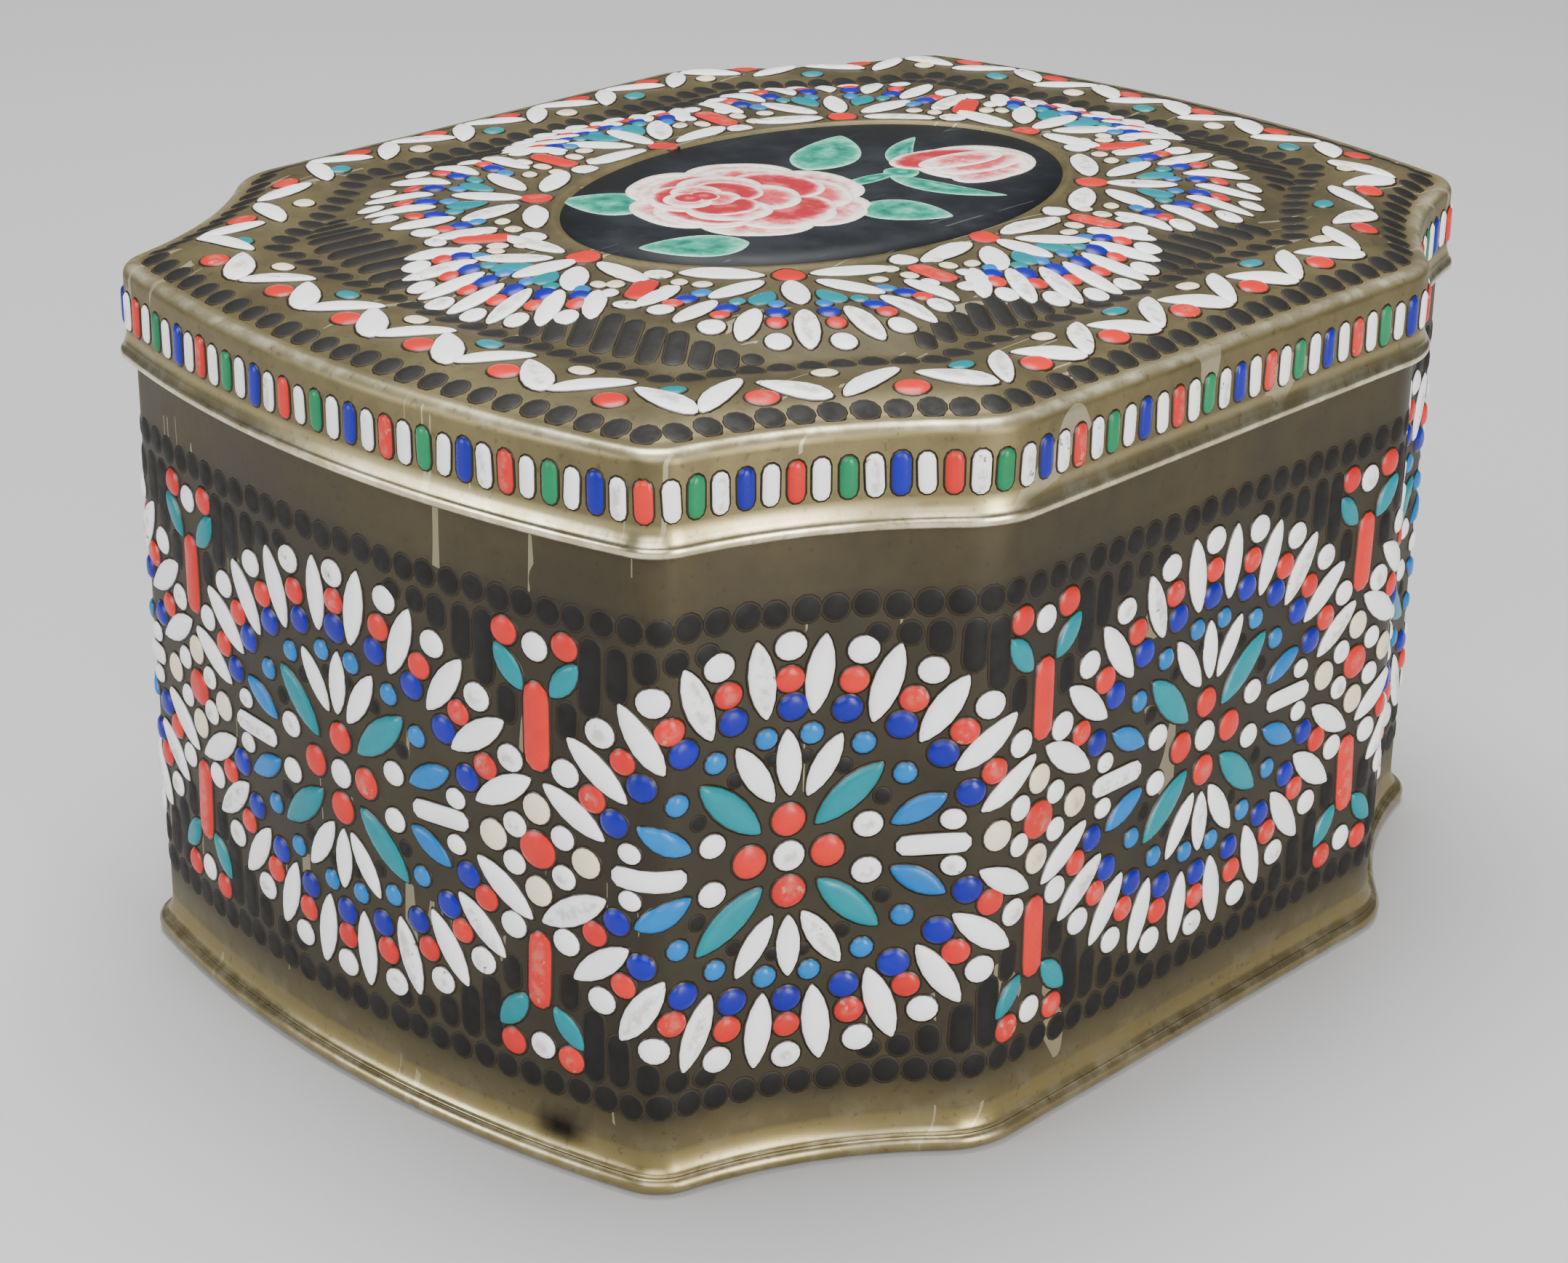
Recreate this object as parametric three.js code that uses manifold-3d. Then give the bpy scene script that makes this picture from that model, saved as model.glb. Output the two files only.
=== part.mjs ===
// Decorative tin box: a wall strip, a base plate seamed round its foot, and a lift-off lid.
// Millimetres, +Z up. The origin is on the underside, at the middle of the plan.
// X runs between the two straight sides and Y between the two bowed ends.

import * as THREE from 'three';
import { LoftGeometry } from 'three/addons/geometries/LoftGeometry.js';
import { mergeVertices } from 'three/addons/utils/BufferGeometryUtils.js';
import Module from 'manifold-3d';

// Plan of the outermost edge, which is the rolled bead of lid and base
const halfWidth = 67.7;
const halfLength = 82.5;
const straightHalf = 41;
const bowHalf = 48.2;
const bowRise = 7.2;
const cornerHollow = 3.2;
const straightRound = 12.4;
const bowRound = 7;
const leastRound = 3;

// Sheet metal
const sheet = 0.3;

// Foot bead and the cove that flares down to it
const footBead = 2.2;
const plateRecess = 0.8;
const coveFlare = 1;
const coveHeight = 3;

// Wall
const wallInset = 1.9;
const wallTop = 91.1;
const curlRadius = 1;

// Lid
const skirtInset = 0.9;
const shoulderRound = 1.6;
const skirtDrop = 12.1;
const lidPlay = 0.2;
const lidCoveHeight = 2.2;
const seatWidth = 0.8;

// Turns in radians: how far the lid's bead is rolled, and how much of its cove is a full quarter
const beadTurn = 4.15;
const lidCoveTurn = 0.97;

// Rings pressed into the lid's top: how far in from the edge, and how high above the shoulder
const bowCut = 2;
const crestInset = 10.5;
const crestRise = 1.8;
const crestSwell = 0.36;
const valleyInset = 18.2;
const valleyRise = 1.2;
const slopeInset = 28.5;
const platformRise = 3.5;

// Oval panel in the middle of the platform
const ovalHalfWidth = 26;
const ovalHalfLength = 37.7;
const ovalRim = 1.1;
const ovalRimRise = 0.35;
const ovalRecess = 0.4;

// Medallions round the wall, each an oval ring of raised petals in four mirrored quarters
const medallions = 8;
const bandMiddle = 40.3;
const petalRingAcross = 27.6;
const petalRingUp = 22.3;
const petalsPerQuarter = 5;
const firstPetalAngle = 82.7;
const petalSpacing = 16.6;
const leastPetalTilt = 33;
const petalLength = 9.8;
const petalWidth = 3.1;
const petalHeight = 0.45;
const petalRoot = 0.2;

// Line segments along each kind of curve of the plan
const steps = { straight: 1, straightRound: 2, hollow: 4, bowRound: 3, bow: 3 };

// Line segments along the arcs of the profiles, and round a petal
const coveSteps = 2;
const curlStepsOverHalf = 5;
const curlSteps = 6;
const curlInsideSteps = 3;
const beadSteps = 4;
const shoulderSteps = 3;
const petalSides = 6;
const petalTiers = 2;

const wasm = await Module();
wasm.setup();

// The corner is an arc that hollows inwards between the ends of a straight side and of a bow.
function cornerCircle() {
  const start = new THREE.Vector2(halfWidth, straightHalf);
  const end = new THREE.Vector2(bowHalf, halfLength - bowRise);
  const chord = end.clone().sub(start);
  const outward = new THREE.Vector2(chord.y, -chord.x).normalize();
  const radius = (chord.lengthSq() / 4 + cornerHollow ** 2) / (2 * cornerHollow);
  const middle = start.clone().add(end).multiplyScalar(0.5);
  return { centre: middle.addScaledVector(outward, radius - cornerHollow), radius };
}

// The point at given distances from two centres, on the left of the line from a to b
function meetingPoint(a, fromA, b, fromB) {
  const line = b.clone().sub(a);
  const span = line.length();
  const along = (fromA ** 2 - fromB ** 2 + span ** 2) / (2 * span);
  const aside = Math.sqrt(fromA ** 2 - along ** 2);
  line.normalize();
  const left = new THREE.Vector2(-line.y, line.x);
  return a.clone().addScaledVector(line, along).addScaledVector(left, aside);
}

const angleTo = (from, to) => Math.atan2(to.y - from.y, to.x - from.x);

// Arcs of the first quarter of the plan, from the straight side to the middle of the bow.
// The plan is drawn inset from the outermost edge, and cut flattens the bows by that much.
function quarterArcs(inset, cut) {
  const corner = cornerCircle();
  const cornerRadius = corner.radius + inset;
  const rise = bowRise - cut;
  const bowRadius = (bowHalf ** 2 + rise ** 2) / (2 * rise);
  const bow = new THREE.Vector2(0, halfLength - cut - bowRadius);
  const r1 = Math.max(straightRound - inset, leastRound);
  const r2 = Math.max(bowRound - inset, leastRound);
  const x1 = halfWidth - inset - r1;
  const drop = Math.sqrt((cornerRadius + r1) ** 2 - (corner.centre.x - x1) ** 2);
  const c1 = new THREE.Vector2(x1, corner.centre.y - drop);
  const c2 = meetingPoint(bow, bowRadius - inset - r2, corner.centre, cornerRadius + r2);
  const full = 2 * Math.PI;
  const turn = angleTo(bow, c2);
  return [
    { centre: c1, radius: r1, from: 0, to: angleTo(c1, corner.centre), steps: steps.straightRound },
    {
      centre: corner.centre,
      radius: cornerRadius,
      from: angleTo(corner.centre, c1) + full,
      to: angleTo(corner.centre, c2) + full,
      steps: steps.hollow,
    },
    { centre: c2, radius: r2, from: angleTo(c2, corner.centre), to: turn, steps: steps.bowRound },
    { centre: bow, radius: bowRadius - inset, from: turn, to: Math.PI / 2, steps: steps.bow },
  ];
}

// An arc of the first quarter mirrored by the signs of x and y, and run backwards if asked
function arcCurve(arc, signX, signY, backwards) {
  const mirrored = (angle) => Math.atan2(signY * Math.sin(angle), signX * Math.cos(angle));
  const ends = [arc.from, arc.to];
  if (backwards) ends.reverse();
  const from = mirrored(ends[0]);
  const sweep = (ends[1] - ends[0]) * signX * signY;
  const x = signX * arc.centre.x;
  const y = signY * arc.centre.y;
  const to = from + sweep;
  const curve = new THREE.EllipseCurve(x, y, arc.radius, arc.radius, from, to, sweep < 0);
  return { curve, steps: arc.steps };
}

// The whole plan, anticlockwise from the lower end of the straight side on +X
function planCurves(inset, cut = 0) {
  const arcs = quarterArcs(inset, cut);
  const half = (sign) => [
    ...arcs.map((arc) => arcCurve(arc, sign, sign, false)),
    ...arcs.toReversed().map((arc) => arcCurve(arc, -sign, sign, true)),
  ];
  const straight = (sign) => {
    const x = sign * (halfWidth - inset);
    const y = sign * arcs[0].centre.y;
    const curve = new THREE.LineCurve(new THREE.Vector2(x, -y), new THREE.Vector2(x, y));
    return { curve, steps: steps.straight };
  };
  return [straight(1), ...half(1), straight(-1), ...half(-1)];
}

// Points round the plan at a height
function ring(inset, z, cut = 0) {
  const points = [];
  for (const { curve, steps: count } of planCurves(inset, cut)) {
    for (let i = 0; i < count; i++) {
      const p = curve.getPoint(i / count);
      points.push(new THREE.Vector3(p.x, p.y, z));
    }
  }
  return points;
}

// Points round an ellipse at a height, on the same rays from the middle as those of a ring
function ovalRing(like, halfX, halfY, z) {
  return like.map((p) => {
    const scale = 1 / Math.hypot(p.x / halfX, p.y / halfY);
    return new THREE.Vector3(p.x * scale, p.y * scale, z);
  });
}

// A ring drawn together to one point in the middle, which closes a skin
const middlePoint = (like, z) => like.map(() => new THREE.Vector3(0, 0, z));

// Points of an arc in the profile plane, where x is the inset and y the height
function profileArc(x, y, radiusX, radiusY, from, to, count) {
  const curve = new THREE.EllipseCurve(x, y, radiusX, radiusY, from, to, to < from);
  return curve.getPoints(count);
}

// Only positions, with shared vertices merged and triangles of no area left out
function closedGeometry(geometry) {
  const bare = new THREE.BufferGeometry();
  bare.setAttribute('position', geometry.attributes.position);
  bare.setIndex(geometry.index);
  const merged = mergeVertices(bare);
  const index = merged.index.array;
  const kept = [];
  for (let i = 0; i < index.length; i += 3) {
    const [a, b, c] = [index[i], index[i + 1], index[i + 2]];
    if (a !== b && b !== c && c !== a) kept.push(a, b, c);
  }
  merged.setIndex(kept);
  return merged;
}

// A skin through rings of points that lead outwards below, up, and inwards on top
function skin(rings) {
  return closedGeometry(new LoftGeometry(rings));
}

function toSolid(geometry) {
  const vertProperties = new Float32Array(geometry.attributes.position.array);
  const triVerts = new Uint32Array(geometry.index.array);
  return new wasm.Manifold(new wasm.Mesh({ numProp: 3, vertProperties, triVerts }));
}

function toGeometry(solid) {
  const mesh = solid.getMesh();
  const geometry = new THREE.BufferGeometry();
  geometry.setAttribute('position', new THREE.BufferAttribute(mesh.vertProperties, mesh.numProp));
  geometry.setIndex(new THREE.BufferAttribute(mesh.triVerts, 1));
  return geometry;
}

// A petal lying flat: six faces rise to its middle above the sheet, and a short root is below
function flatPetal() {
  const geometry = new THREE.SphereGeometry(1, petalSides, petalTiers).rotateX(Math.PI / 2);
  const position = geometry.attributes.position;
  for (let i = 0; i < position.count; i++) {
    const depth = position.getZ(i);
    position.setZ(i, depth > 0 ? depth * petalHeight : depth * petalRoot);
  }
  return closedGeometry(geometry.scale(petalLength / 2, petalWidth / 2, 1));
}

// Bends a flat piece round the wall: x runs along the wall from the middle of the side on +X,
// y is the height and z stands out from the wall's outer face.
function wallWrap() {
  const corners = ring(wallInset, 0);
  const path = new THREE.CurvePath();
  corners.forEach((corner, i) => {
    path.add(new THREE.LineCurve3(corner, corners[(i + 1) % corners.length]));
  });
  const perimeter = path.getLength();
  const start = path.curves[0].getLength() / 2;
  const pointAt = (x) => path.getPoint(THREE.MathUtils.euclideanModulo((start + x) / perimeter, 1));
  const wrap = (geometry) => {
    const position = geometry.attributes.position;
    for (let i = 0; i < position.count; i++) {
      const point = pointAt(position.getX(i));
      const ahead = pointAt(position.getX(i) + sheet).sub(point).normalize();
      point.addScaledVector(new THREE.Vector3(ahead.y, -ahead.x, 0), position.getZ(i));
      position.setXYZ(i, point.x, point.y, position.getY(i));
    }
    return geometry;
  };
  return { perimeter, wrap };
}

// Petals of every medallion, one solid each. They stand square to an oval, but never lie flatter
// than the least tilt, so that those of neighbouring medallions meet like a chevron.
function medallionPetals() {
  const { perimeter, wrap } = wallWrap();
  const solids = [];
  for (let m = 0; m < medallions; m++) {
    const middle = (perimeter * m) / medallions;
    for (let i = 0; i < petalsPerQuarter; i++) {
      const angle = THREE.MathUtils.degToRad(firstPetalAngle - petalSpacing * i);
      const across = petalRingAcross * Math.cos(angle);
      const up = petalRingUp * Math.sin(angle);
      const square = Math.atan2(up / petalRingUp ** 2, across / petalRingAcross ** 2);
      const tilt = Math.max(square, THREE.MathUtils.degToRad(leastPetalTilt));
      for (const [signX, signZ] of [[1, 1], [-1, 1], [-1, -1], [1, -1]]) {
        const petal = flatPetal().rotateZ(Math.atan2(signZ * Math.sin(tilt), signX * Math.cos(tilt)));
        petal.translate(middle + signX * across, bandMiddle + signZ * up, 0);
        solids.push(toSolid(wrap(petal)));
      }
    }
  }
  return solids;
}

// Wall: a tube of sheet that flares out at its foot and curls inwards at its top
function wallGeometry() {
  const footInset = wallInset - coveFlare;
  const coveTop = footBead + coveHeight;
  const quarter = Math.PI / 2;
  const innerFlare = coveFlare + sheet;
  const innerRise = coveHeight + sheet;
  const outerCove = profileArc(footInset, coveTop, coveFlare, coveHeight, -quarter, 0, coveSteps);
  const innerCove = profileArc(footInset, coveTop, innerFlare, innerRise, 0, -quarter, coveSteps);
  // An odd number of segments over the top leaves a flat one in the middle, which carries the lid.
  const curlSegment = Math.PI / curlStepsOverHalf;
  const curlEnd = Math.PI - curlSteps * curlSegment;
  const curlInset = wallInset + curlRadius;
  const curlHeight = wallTop - curlRadius * Math.cos(curlSegment / 2);
  const curl = (radius, from, to, count) =>
    profileArc(curlInset, curlHeight, radius, radius, from, to, count);
  const outerCurl = curl(curlRadius, Math.PI, curlEnd, curlSteps);
  const innerCurl = curl(curlRadius - sheet, curlEnd, Math.PI, curlInsideSteps);
  const profile = [...outerCove, ...outerCurl, ...innerCurl, ...innerCove];
  const rings = profile.map((p) => ring(p.x, p.y));
  const tube = toSolid(skin([...rings, rings[0]]));
  return toGeometry(medallionPetals().reduce((sum, petal) => sum.add(petal), tube));
}

// Base: a recessed plate with its edge rolled round the foot of the wall into a solid bead
function baseGeometry() {
  const half = footBead / 2;
  const footInset = wallInset - coveFlare;
  const seat = footBead - sheet;
  const topAngle = Math.acos((footInset - half) / half);
  const bead = profileArc(half, half, half, half, 1.5 * Math.PI, topAngle, beadSteps);
  const panel = ring(footBead + sheet, plateRecess);
  const rings = [
    middlePoint(panel, plateRecess),
    panel,
    ring(footBead, 0),
    ...bead.map((p) => ring(p.x, p.y)),
    ring(footInset, seat),
    ring(footBead, seat),
    ring(footBead + sheet, plateRecess + sheet),
    middlePoint(panel, plateRecess + sheet),
  ];
  return skin(rings);
}

// Heights of the lid's pressed top, from the shoulder in to the middle of the oval panel
function lidTopRings(shoulder) {
  const seatEnd = skirtInset + shoulderRound + seatWidth;
  const crest = shoulder + crestRise;
  const valley = shoulder + valleyRise;
  const platform = shoulder + platformRise;
  const half = (a, b) => (a + b) / 2;
  const slopeEdge = ring(slopeInset, platform, bowCut);
  const rim = platform + ovalRimRise;
  return [
    ring(seatEnd, shoulder),
    ring(half(seatEnd, crestInset), half(shoulder, crest) + crestSwell, bowCut / 2),
    ring(crestInset, crest, bowCut),
    ring(half(crestInset, valleyInset), crest, bowCut),
    ring(valleyInset, valley, bowCut),
    ring(half(valleyInset, slopeInset), half(valley, platform), bowCut),
    slopeEdge,
    ovalRing(slopeEdge, ovalHalfWidth + 2 * ovalRim, ovalHalfLength + 2 * ovalRim, platform),
    ovalRing(slopeEdge, ovalHalfWidth + ovalRim, ovalHalfLength + ovalRim, rim),
    ovalRing(slopeEdge, ovalHalfWidth, ovalHalfLength, rim - ovalRecess),
    middlePoint(slopeEdge, rim - ovalRecess),
  ];
}

// Lid: one pressed sheet, with a rounded shoulder, a skirt, a cove and a rolled bead
function lidGeometry() {
  const quarter = Math.PI / 2;
  const bead = wallInset - lidPlay;
  const half = bead / 2;
  const centre = skirtInset + shoulderRound;
  const roundHeight = wallTop + sheet - shoulderRound;
  const beadHeight = wallTop + sheet - skirtDrop + half;
  const coveTop = beadHeight + half + lidCoveHeight;
  const inner = shoulderRound - sheet;
  const inside = [
    ...profileArc(centre, roundHeight, inner, inner, quarter, Math.PI, shoulderSteps),
    new THREE.Vector2(skirtInset + sheet, coveTop),
  ];
  const outside = [
    ...profileArc(half, beadHeight, half, half, 0, -beadTurn, beadSteps),
    ...profileArc(0, coveTop, skirtInset, lidCoveHeight, -lidCoveTurn, 0, coveSteps),
    ...profileArc(centre, roundHeight, shoulderRound, shoulderRound, Math.PI, quarter, shoulderSteps),
  ];
  return skin([
    ...lidTopRings(wallTop).toReversed(),
    ...[...inside, ...outside].map((p) => ring(p.x, p.y)),
    ...lidTopRings(wallTop + sheet),
  ]);
}

function part(name, geometry, color, roughness, metalness) {
  const material = new THREE.MeshStandardMaterial({ color, roughness, metalness });
  const mesh = new THREE.Mesh(geometry, material);
  mesh.name = name;
  return mesh;
}

const box = new THREE.Group();
box.add(part('box_wall', wallGeometry(), 0x554e3e, 0.42, 0.8));
box.add(part('base_plate', baseGeometry(), 0xb49650, 0.35, 0.9));
box.add(part('lid', lidGeometry(), 0x8a7d55, 0.4, 0.8));

export default box;
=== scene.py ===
from math import acos, atan2, cos, degrees, hypot, pi, radians, sin, sqrt

import bpy
import numpy as np
from mathutils import Matrix, Vector


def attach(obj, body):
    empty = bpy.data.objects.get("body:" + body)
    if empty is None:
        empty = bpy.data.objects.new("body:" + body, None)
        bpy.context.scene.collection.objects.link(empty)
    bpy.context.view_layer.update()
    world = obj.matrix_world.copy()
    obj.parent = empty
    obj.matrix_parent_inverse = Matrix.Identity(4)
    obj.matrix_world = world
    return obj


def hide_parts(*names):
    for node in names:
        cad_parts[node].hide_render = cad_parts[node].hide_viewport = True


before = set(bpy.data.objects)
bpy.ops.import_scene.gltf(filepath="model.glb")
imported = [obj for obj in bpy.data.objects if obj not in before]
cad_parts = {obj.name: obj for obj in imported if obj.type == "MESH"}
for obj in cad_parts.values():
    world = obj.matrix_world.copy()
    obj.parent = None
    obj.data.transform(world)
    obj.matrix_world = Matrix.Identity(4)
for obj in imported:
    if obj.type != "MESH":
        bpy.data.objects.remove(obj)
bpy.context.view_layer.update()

# Looks of a decorative tin box: sheet metal skins, enamel beads laid on them, and a painted rose.
# Shapes are worked out in millimetres in the row frame and written to the meshes in metres.
MM = 0.001
rng = np.random.default_rng(11)

# Plan of the outermost edge, as in the solids
HALF_WIDTH, HALF_LENGTH = 67.7, 82.5
STRAIGHT_HALF, BOW_HALF, BOW_RISE, CORNER_HOLLOW = 41.0, 48.2, 7.2, 3.2
STRAIGHT_ROUND, BOW_ROUND, LEAST_ROUND = 12.4, 7.0, 3.0
PLAN_STEPS = {"straight": 12, "round": 10, "hollow": 20, "bow": 24}

# Sheet, foot and wall
SHEET = 0.3
FOOT_BEAD, PLATE_RECESS = 2.2, 0.8
COVE_FLARE, COVE_HEIGHT = 1.0, 3.0
WALL_INSET, WALL_TOP, CURL_RADIUS = 1.9, 91.1, 1.0

# Lid
SKIRT_INSET, SHOULDER_ROUND, SEAT_WIDTH = 0.9, 1.6, 0.8
SKIRT_DROP, LID_PLAY, LID_COVE_HEIGHT = 12.1, 0.2, 2.2
BEAD_TURN, LID_COVE_TURN = 4.15, 0.97
SEAT_END = SKIRT_INSET + SHOULDER_ROUND + SEAT_WIDTH
SHOULDER = WALL_TOP + SHEET
BOW_CUT = 2.0
CREST_INSET, CREST_RISE, CREST_SWELL = 10.5, 1.8, 0.36
VALLEY_INSET, VALLEY_RISE = 18.2, 1.2
SLOPE_INSET, PLATFORM_RISE = 28.5, 3.5
SOFTENING = 1.2

# Oval panel
OVAL_X, OVAL_Y = 26.0, 37.7
OVAL_RIM_RISE, OVAL_RECESS = 0.35, 0.4

# Straight face of the wall between cove and curl: heights, and how gilt it is there
FACE_HEIGHTS = (8.6, 9.4, 71.6, 72.6, 78.0, 88.0)
FACE_GILT = (0.1, 0.0, 0.0, 0.05, 0.07, 0.07)
# Dark patch in the cove of the wall: length along the wall, height, and its reach in both
SOOT_AT = (411.0, 5.2)
SOOT_REACH = (3.4, 2.2)

# Pattern of the wall, and how far its beads rise
MEDALLIONS = 8
BAND_MIDDLE = 40.3
DOT_ROWS, DOTS_ROUND, DOT_SIZE = (70.2, 10.7), 144, 3.3
PETAL_RISE, BEAD_RISE, BLACK_RISE = 0.6, 0.55, 0.2

# Upright pills on the lid's skirt: how many, shift of the first in pitches, size, height and rise
SKIRT_PILLS, SKIRT_SHIFT = 174, 1.37
SKIRT_PILL, SKIRT_MIDDLE, SKIRT_RISE = (5.1, 2.15), 85.8, 0.45
SKIRT_TURNS = ("white", "coral", "white", "jade", "white", "blue")


def direction(a, b):
    """Angle of the line from point a to point b."""
    return atan2(b[1] - a[1], b[0] - a[0])


def quarter_arcs(inset, cut):
    """Arcs of the first quarter of the plan: round, hollow, round, bow, as centre, radius and angles."""
    start = np.array([HALF_WIDTH, STRAIGHT_HALF])
    end = np.array([BOW_HALF, HALF_LENGTH - BOW_RISE])
    chord = end - start
    span = hypot(*chord)
    radius = (span ** 2 / 4 + CORNER_HOLLOW ** 2) / (2 * CORNER_HOLLOW)
    outward = np.array([chord[1], -chord[0]]) / span
    corner = (start + end) / 2 + outward * (radius - CORNER_HOLLOW)
    radius += inset
    rise = BOW_RISE - cut
    bow_radius = (BOW_HALF ** 2 + rise ** 2) / (2 * rise)
    bow = np.array([0.0, HALF_LENGTH - cut - bow_radius])
    r1 = max(STRAIGHT_ROUND - inset, LEAST_ROUND)
    r2 = max(BOW_ROUND - inset, LEAST_ROUND)
    x1 = HALF_WIDTH - inset - r1
    c1 = np.array([x1, corner[1] - sqrt((radius + r1) ** 2 - (corner[0] - x1) ** 2)])
    to_bow, to_corner = bow_radius - inset - r2, radius + r2
    line = corner - bow
    gap = hypot(*line)
    line /= gap
    along = (to_bow ** 2 - to_corner ** 2 + gap ** 2) / (2 * gap)
    left = np.array([-line[1], line[0]])
    c2 = bow + line * along + left * sqrt(to_bow ** 2 - along ** 2)
    turn = direction(bow, c2)
    full = 2 * pi
    return [
        (c1, r1, 0.0, direction(c1, corner), PLAN_STEPS["round"]),
        (corner, radius, direction(corner, c1) + full, direction(corner, c2) + full, PLAN_STEPS["hollow"]),
        (c2, r2, direction(c2, corner), turn, PLAN_STEPS["round"]),
        (bow, bow_radius - inset, turn, pi / 2, PLAN_STEPS["bow"]),
    ]


def plan(inset, cut=0.0):
    """Points round the plan, anticlockwise from the middle of the +X side: the arcs of one quarter
    after half a straight side, mirrored to a half, and the half turned by 180 degrees."""
    parts = []
    for centre, radius, a0, a1, steps in quarter_arcs(inset, cut):
        a = a0 + (a1 - a0) * np.arange(steps) / steps
        parts.append(centre + radius * np.stack([np.cos(a), np.sin(a)], 1))
    bow_top = centre + np.array([0.0, radius])
    quarter = np.concatenate([*parts, bow_top[None]])
    side = quarter[0, 1] * np.arange(PLAN_STEPS["straight"]) / PLAN_STEPS["straight"]
    quarter = np.concatenate([np.stack([np.full(len(side), quarter[0, 0]), side], 1), quarter])
    mirrored = (quarter * [-1, 1])[::-1]
    half = np.concatenate([quarter[:-1], mirrored[:-1]])
    return np.concatenate([half, -half])


class Track:
    """A closed curve by the length along it, with its outward normals."""

    def __init__(self, points):
        self.loop = np.concatenate([points, points[:1]])
        step = np.diff(self.loop, axis=0)
        self.length = np.concatenate([[0], np.cumsum(np.hypot(step[:, 0], step[:, 1]))])
        self.perimeter = self.length[-1]
        normal = np.stack([step[:, 1], -step[:, 0]], 1)
        normal /= np.hypot(normal[:, 0], normal[:, 1])[:, None]
        mean = normal + np.roll(normal, 1, axis=0)
        mean /= np.hypot(mean[:, 0], mean[:, 1])[:, None]
        self.normal = np.concatenate([mean, mean[:1]])

    def at(self, s):
        """Place and outward normal at length s."""
        s = np.mod(s, self.perimeter)
        place = np.stack([np.interp(s, self.length, self.loop[:, k]) for k in (0, 1)], -1)
        normal = np.stack([np.interp(s, self.length, self.normal[:, k]) for k in (0, 1)], -1)
        return place, normal / np.linalg.norm(normal, axis=-1, keepdims=True)


def lid_cut(inset):
    """How much flatter the bows of the lid's rings are at an inset."""
    return float(BOW_CUT * np.clip((inset - SEAT_END) / (CREST_INSET - SEAT_END), 0, 1))


LID_STATIONS = np.array([
    (SEAT_END, 0.0),
    ((SEAT_END + CREST_INSET) / 2, CREST_RISE / 2 + CREST_SWELL),
    (CREST_INSET, CREST_RISE),
    ((CREST_INSET + VALLEY_INSET) / 2, CREST_RISE),
    (VALLEY_INSET, VALLEY_RISE),
    (SLOPE_INSET, PLATFORM_RISE),
    (SLOPE_INSET + 10, PLATFORM_RISE),
])


def lid_rise(inset):
    """Height of the lid's top above its shoulder: straight lines between the pressed rings, softened
    by the mean over a short stretch, which fades out towards the shoulder."""
    shifts = np.linspace(-SOFTENING, SOFTENING, 13)
    soft = np.interp(inset + shifts, LID_STATIONS[:, 0], LID_STATIONS[:, 1]).mean()
    sharp = np.interp(inset, LID_STATIONS[:, 0], LID_STATIONS[:, 1])
    share = np.clip((inset - SEAT_END) / SOFTENING, 0, 1)
    return float(soft * share + sharp * (1 - share))


def arc(x, z, radius_x, radius_z, start, end, steps):
    """Points (inset, height) along an elliptic arc of a profile."""
    a = np.linspace(start, end, steps + 1)
    return np.stack([x + radius_x * np.cos(a), z + radius_z * np.sin(a)], 1)


def at_height(points, z):
    """Plan points lifted to a height."""
    return np.column_stack([points, np.full(len(points), z)])


def plan_rings(profile):
    """Rings round the plan at the insets and heights of a profile."""
    return [at_height(plan(inset), z) for inset, z in profile]


def add_object(name, data):
    """A new object in the scene."""
    made = bpy.data.objects.new(name, data)
    bpy.context.scene.collection.objects.link(made)
    return made


def new_piece(name, verts, faces, attributes, finish, replaces=None):
    """A smooth mesh object on the root body, from vertices in mm, faces and float attributes."""
    mesh = bpy.data.meshes.new(name)
    mesh.from_pydata((verts * MM).tolist(), [], faces)
    mesh.polygons.foreach_set("use_smooth", np.ones(len(mesh.polygons), bool))
    for key, values in attributes.items():
        layer = mesh.attributes.new(key, "FLOAT", "POINT")
        layer.data.foreach_set("value", np.asarray(values, np.float32))
    mesh.materials.append(finish)
    mesh.update()
    piece = add_object(name, mesh)
    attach(piece, "root")
    if replaces:
        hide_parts(replaces)


def ring_quads(count, around, closed=False):
    """Quads from each ring of points to the next: this point, the one ahead, and the two above."""
    i = np.arange(count if closed else count - 1)[:, None]
    j = np.arange(around)[None, :]
    up, ahead = (i + 1) % count, (j + 1) % around
    quads = [i * around + j, i * around + ahead, up * around + ahead, up * around + j]
    return np.stack(quads, -1).reshape(-1, 4)


def skin(rings, values, closed):
    """Quads between neighbouring rings, which lead outwards below, up, and inwards on top. Where the
    profile isn't closed on itself, its first and last ring are drawn together to a middle point.
    values maps an attribute to one number a ring."""
    count, around = len(rings), len(rings[0])
    verts = np.concatenate(rings)
    faces = ring_quads(count, around, closed).tolist()
    attributes = {key: np.repeat(v, around) for key, v in values.items()}
    if not closed:
        ends = np.array([rings[0].mean(0), rings[-1].mean(0)])
        j, ahead = np.arange(around), (np.arange(around) + 1) % around
        low = np.stack([np.full(around, len(verts)), ahead, j], -1)
        last = (count - 1) * around
        high = np.stack([np.full(around, len(verts) + 1), last + j, last + ahead], -1)
        faces += low.tolist() + high.tolist()
        verts = np.concatenate([verts, ends])
        attributes = {key: np.concatenate([v, [values[key][0], values[key][-1]]])
                      for key, v in attributes.items()}
    return verts, faces, attributes


# Materials

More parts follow.
